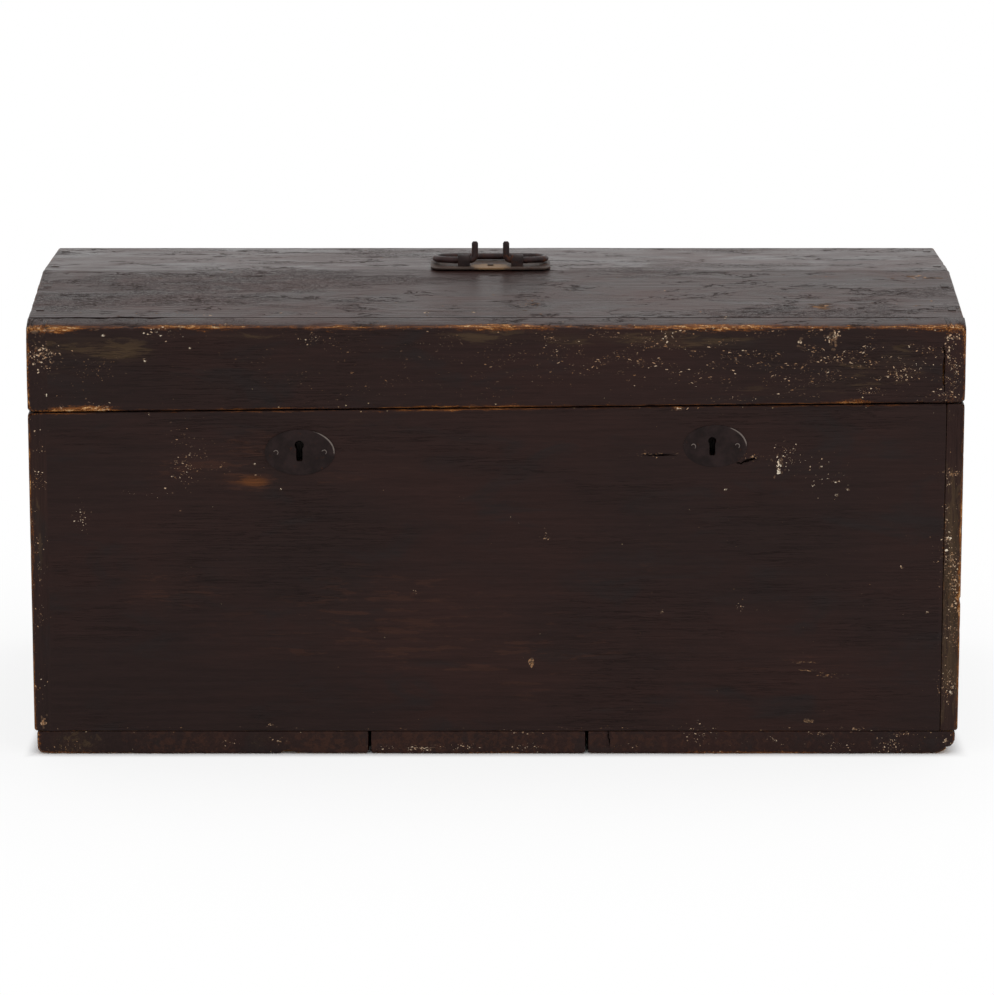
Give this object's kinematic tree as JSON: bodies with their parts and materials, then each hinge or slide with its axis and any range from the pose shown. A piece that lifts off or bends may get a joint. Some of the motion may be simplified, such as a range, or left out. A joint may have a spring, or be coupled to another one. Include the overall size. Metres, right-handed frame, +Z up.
{
  "type": "dome-top wooden trunk",
  "caption": "Painted pine trunk with a low three-stave domed lid on strap hinges, locks with oval escutcheons, bottom boards laid across and a folding iron bail.",
  "frame": {"origin": "on the floor, under the middle of the overall box", "axes": "+X to the trunk's right as seen from the front, along its length; +Y from the front, with the keyholes, to the back, with the hinges; +Z up"},
  "size_m": [0.76, 0.392, 0.4049],
  "materials": {
    "painted_pine": "old dark brown oil paint on pine, satin, worn to bare wood at the edges",
    "lid_top_pine": "old dark paint on pine, rubbed grey-brown and glossy on the lid's top",
    "wrought_iron": "dark forged iron, slightly rusted",
    "plate_iron": "rubbed grey-brown sheet iron with rust in the middle",
    "escutcheon_iron": "sheet iron painted over with the box, rubbed bare at the rim",
    "lock_iron": "dull sheet iron of the locks",
    "nail_iron": "hand-made nails"
  },
  "bodies": {
    "box": {"front_board": "painted_pine", "back_board": "painted_pine", "left_end_board": "painted_pine", "right_end_board": "painted_pine", "left_bottom_board": "painted_pine", "middle_bottom_board": "painted_pine", "right_bottom_board": "painted_pine", "left_hinge_body_strap": "wrought_iron", "right_hinge_body_strap": "wrought_iron", "left_hinge_pin": "wrought_iron", "right_hinge_pin": "wrought_iron", "left_escutcheon": "escutcheon_iron", "right_escutcheon": "escutcheon_iron", "left_lock_plate": "lock_iron", "left_lock_cap": "lock_iron", "left_lock_spring": "lock_iron", "right_lock_plate": "lock_iron", "right_lock_cap": "lock_iron", "right_lock_spring": "lock_iron", "bottom_nails": "nail_iron", "left_body_strap_nails": "nail_iron", "left_corner_nails": "nail_iron", "left_escutcheon_nails": "nail_iron", "left_lock_nails": "nail_iron", "right_body_strap_nails": "nail_iron", "right_corner_nails": "nail_iron", "right_escutcheon_nails": "nail_iron", "right_lock_nails": "nail_iron"},
    "lid": {"lid_front_rail": "painted_pine", "lid_back_rail": "painted_pine", "lid_left_end": "painted_pine", "lid_right_end": "painted_pine", "lid_front_stave": "lid_top_pine", "lid_crown_board": "lid_top_pine", "lid_rear_stave": "lid_top_pine", "lid_left_corner_nails": "nail_iron", "lid_right_corner_nails": "nail_iron", "stave_nails": "nail_iron", "handle_plate": "plate_iron", "left_handle_eye": "wrought_iron", "right_handle_eye": "wrought_iron", "handle_nails": "nail_iron", "left_keeper": "lock_iron", "left_keeper_nails": "nail_iron", "left_hinge_lid_strap": "wrought_iron", "left_lid_strap_nails": "nail_iron", "right_keeper": "lock_iron", "right_keeper_nails": "nail_iron", "right_hinge_lid_strap": "wrought_iron", "right_lid_strap_nails": "nail_iron"},
    "bail": {"bail": "wrought_iron"},
    "left_bolt": {"left_lock_bolt": "lock_iron"},
    "right_bolt": {"right_lock_bolt": "lock_iron"}
  },
  "joints": [
    {"name": "lid_hinge", "type": "hinge", "parent": "box", "child": "lid", "pos_m": [0, 0.189, 0.2902], "axis": [-0.9999, 0, -0.0103], "range_deg": [0, 104]},
    {"name": "bail_hinge", "type": "hinge", "parent": "lid", "child": "bail", "pos_m": [-0.0047, -0.051, 0.3892], "axis": [1, 0, 0], "range_deg": [0, 95]},
    {"name": "left_bolt_slide", "type": "slide", "parent": "box", "child": "left_bolt", "axis": [0.9999, 0, 0.0103], "range_m": [0, 0.01]},
    {"name": "right_bolt_slide", "type": "slide", "parent": "box", "child": "right_bolt", "axis": [0.9999, 0, 0.0103], "range_m": [0, 0.01]}
  ]
}
